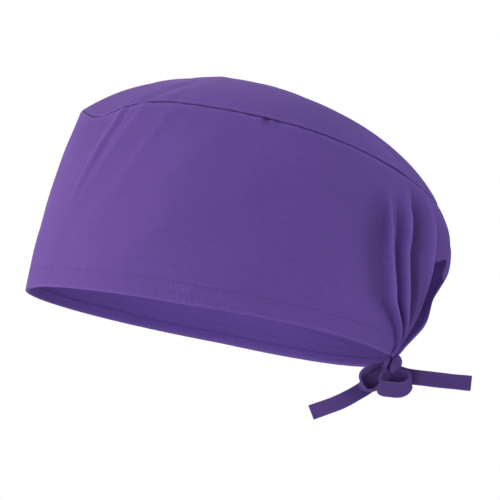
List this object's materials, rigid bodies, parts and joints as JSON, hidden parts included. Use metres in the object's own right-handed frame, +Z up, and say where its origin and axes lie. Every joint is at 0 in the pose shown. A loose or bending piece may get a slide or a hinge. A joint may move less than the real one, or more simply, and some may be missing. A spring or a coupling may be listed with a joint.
{
  "type": "tie-back work cap",
  "caption": "Soft cloth work cap with a side band, a rounded crown panel, a gathered nape with a small window, and a tied bow at the back.",
  "frame": {"origin": "centre of the head opening, in the level plane of the rim, where the cap sits on a head", "axes": "+Z up through the crown, -Y towards the forehead, +Y towards the nape and the ties, +X towards the wearer's left"},
  "size_m": [0.1708, 0.2593, 0.1838],
  "materials": {
    "cap_cloth": "matt plain weave, purple",
    "tie_tape": "matt folded tape of the same cloth, purple"
  },
  "bodies": {
    "root": {"side_band": "cap_cloth", "crown_panel": "cap_cloth", "tie_knot": "tie_tape", "tie_loop_left": "tie_tape", "tie_loop_right": "tie_tape", "tie_tail_left": "tie_tape", "tie_tail_right": "tie_tape"}
  },
  "joints": []
}
